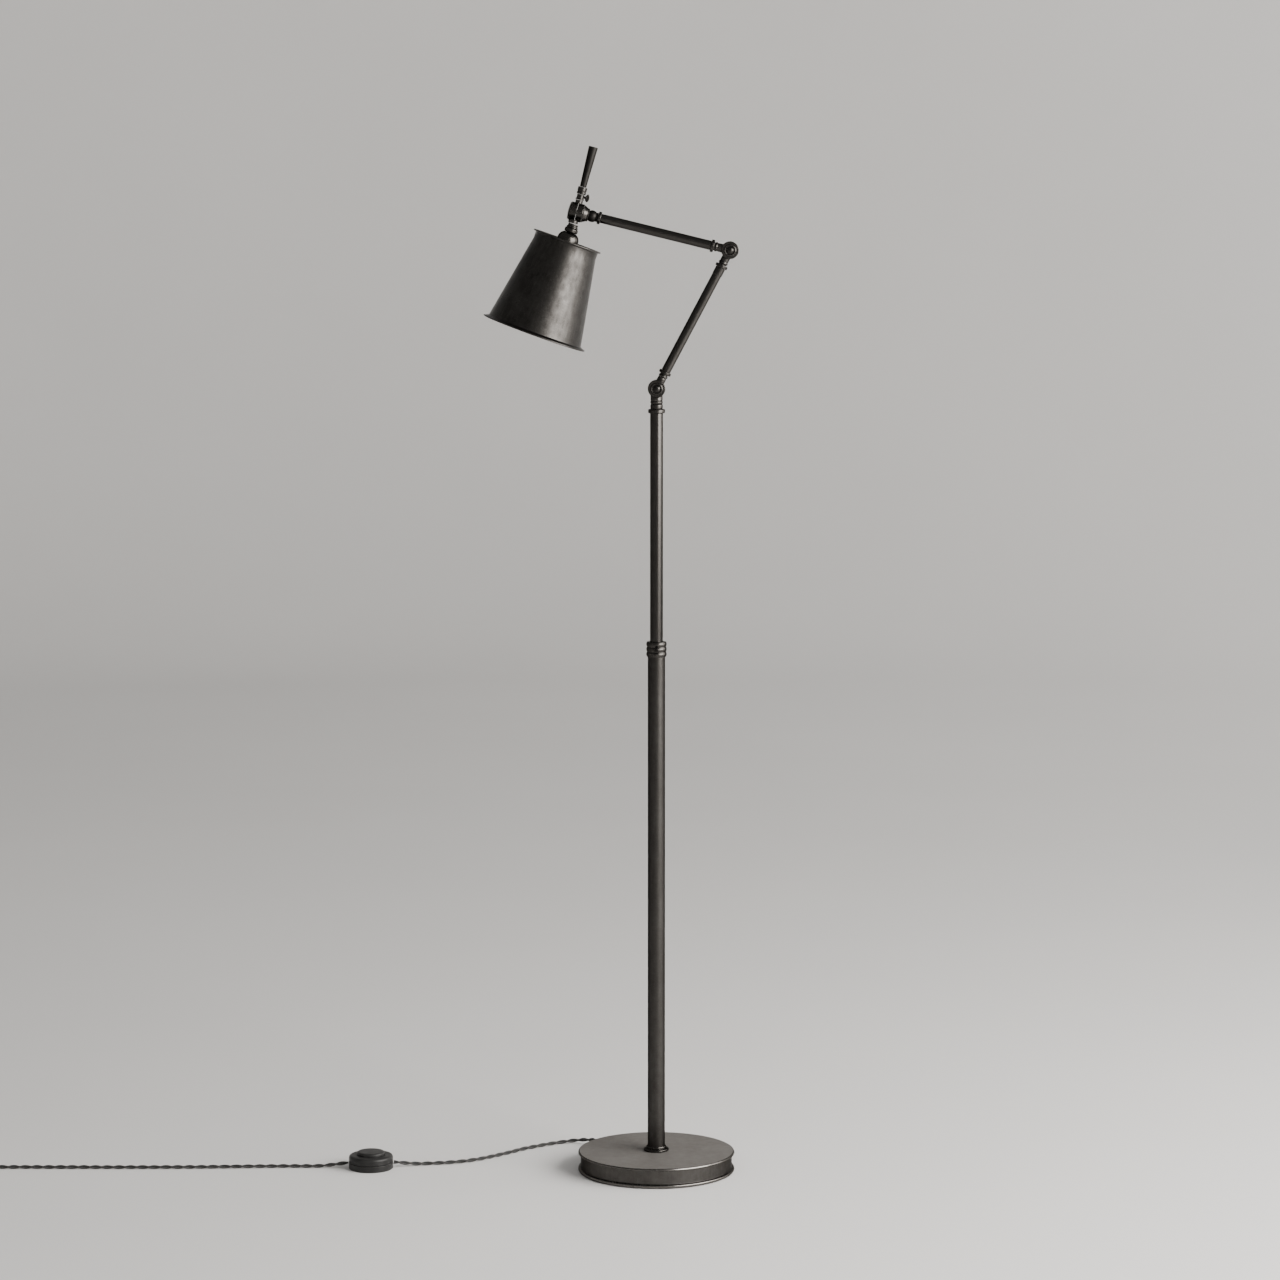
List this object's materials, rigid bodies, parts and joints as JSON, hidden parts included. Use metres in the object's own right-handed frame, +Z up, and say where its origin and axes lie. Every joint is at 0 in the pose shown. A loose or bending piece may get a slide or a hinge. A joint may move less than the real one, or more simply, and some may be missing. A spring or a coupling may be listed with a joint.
{
  "type": "adjustable arm floor lamp",
  "caption": "Floor lamp with a weighted round base, telescopic post, jointed arms, tilting and turning flared metal shade with a top handle, and an in-line foot switch on its cord.",
  "frame": {"origin": "centre of the base's underside, on the post's axis, at floor level", "axes": "+Z up along the post; at rest both arms lie in the XZ plane with the shade towards -X; +Y points away from the side the clamp screw and pivot screw heads face"},
  "size_m": [1.251, 0.3032, 1.5658],
  "materials": {
    "bronze": "dark antique bronze, satin, with a mottled patina",
    "dark_bronze": "near-black bronze, semi-gloss",
    "cast_iron": "raw casting, grey primer",
    "steel": "zinc plated",
    "brass": "turned brass",
    "nylon": "moulded nylon",
    "felt": "pressed black felt",
    "rubber": "soft black rubber",
    "black_plastic": "fine satin texture",
    "braid": "twisted textile-braided flex",
    "opal_glass": "opal white"
  },
  "bodies": {
    "base": {"base_cover": "bronze", "base_weight": "cast_iron", "base_felt": "felt", "base_strain_relief": "rubber", "base_rod": "steel", "base_nut": "steel", "foot_ring": "bronze", "tube_spigot": "steel", "lower_tube": "bronze", "guide_bush": "nylon", "telescopic_collar": "bronze", "cord_to_switch": "braid", "switch_lower_shell": "black_plastic", "switch_cover": "black_plastic", "switch_mechanism": "nylon", "cord_to_coil": "braid", "cord_coil": "braid", "cord_tie": "rubber", "cord_tail": "braid", "plug": "black_plastic"},
    "collar_screw": {"collar_screw": "dark_bronze"},
    "upper_post": {"upper_tube": "bronze", "stop_bush": "nylon", "post_cap": "bronze"},
    "post_swivel": {"knuckle_rear_half": "bronze", "knuckle_screw": "dark_bronze", "knuckle_nut": "dark_bronze", "knuckle_washer": "nylon", "swivel_clip": "steel"},
    "arm_one": {"arm_one_knuckle": "bronze", "arm_one_lower_ring": "bronze", "arm_one_tube": "bronze", "arm_one_upper_ring": "bronze", "elbow_rear_half": "bronze"},
    "arm_two": {"elbow_front_half": "bronze", "elbow_screw": "dark_bronze", "elbow_nut": "dark_bronze", "elbow_washer": "nylon", "arm_two_elbow_ring": "bronze", "arm_two_tube": "bronze", "arm_two_head_ring": "bronze", "tilt_ball": "dark_bronze"},
    "head_mount": {"ball_cup": "bronze", "hub_fixed_disc": "bronze", "hub_screw": "steel"},
    "head": {"hub_turning_disc": "bronze", "hub_dome_cap": "bronze", "handle_neck": "bronze", "handle_collar": "bronze", "handle_grip": "dark_bronze", "shade_stem": "bronze", "bell_cap": "bronze", "shade": "bronze", "shade_ring_nut": "brass", "lampholder": "black_plastic", "bulb_cap": "steel", "bulb_glass": "opal_glass"},
    "thumb_screw": {"thumb_screw": "dark_bronze"},
    "switch_button": {"switch_button": "black_plastic"}
  },
  "joints": [
    {"name": "post_height", "type": "slide", "parent": "base", "child": "upper_post", "axis": [0, 0, 1], "range_m": [-0.3, 0.15]},
    {"name": "post_turn", "type": "hinge", "parent": "upper_post", "child": "post_swivel", "pos_m": [0, 0, 1.1773], "axis": [0, 0, 1], "range_deg": [-170, 170]},
    {"name": "arm_one_tilt", "type": "hinge", "parent": "post_swivel", "child": "arm_one", "pos_m": [0, 0, 1.2007], "axis": [0, 1, 0], "range_deg": [-90, 72]},
    {"name": "elbow_tilt", "type": "hinge", "parent": "arm_one", "child": "arm_two", "pos_m": [0.11043, 0, 1.40927], "axis": [0, 1, 0], "range_deg": [-15, 150]},
    {"name": "head_tilt", "type": "hinge", "parent": "arm_two", "child": "head_mount", "pos_m": [-0.0972, 0, 1.46027], "axis": [0, 1, 0], "range_deg": [-30, 30]},
    {"name": "head_turn", "type": "hinge", "parent": "head_mount", "child": "head", "pos_m": [-0.12069, 0, 1.46647], "axis": [-0.9668, 0, 0.2554], "range_deg": [-150, 150]},
    {"name": "thumb_turn", "type": "hinge", "parent": "head", "child": "thumb_screw", "pos_m": [-0.11456, 0, 1.48968], "axis": [0.9668, 0, -0.2554], "range_deg": [0, 180]},
    {"name": "clamp_turn", "type": "hinge", "parent": "base", "child": "collar_screw", "pos_m": [0, 0, 0.8046], "axis": [0, -1, 0], "range_deg": [0, 270]},
    {"name": "switch_press", "type": "slide", "parent": "base", "child": "switch_button", "axis": [0, 0, -1], "range_m": [0, 0.0035], "stiffness_N_per_m": 2000, "springref_m": -0.001}
  ]
}
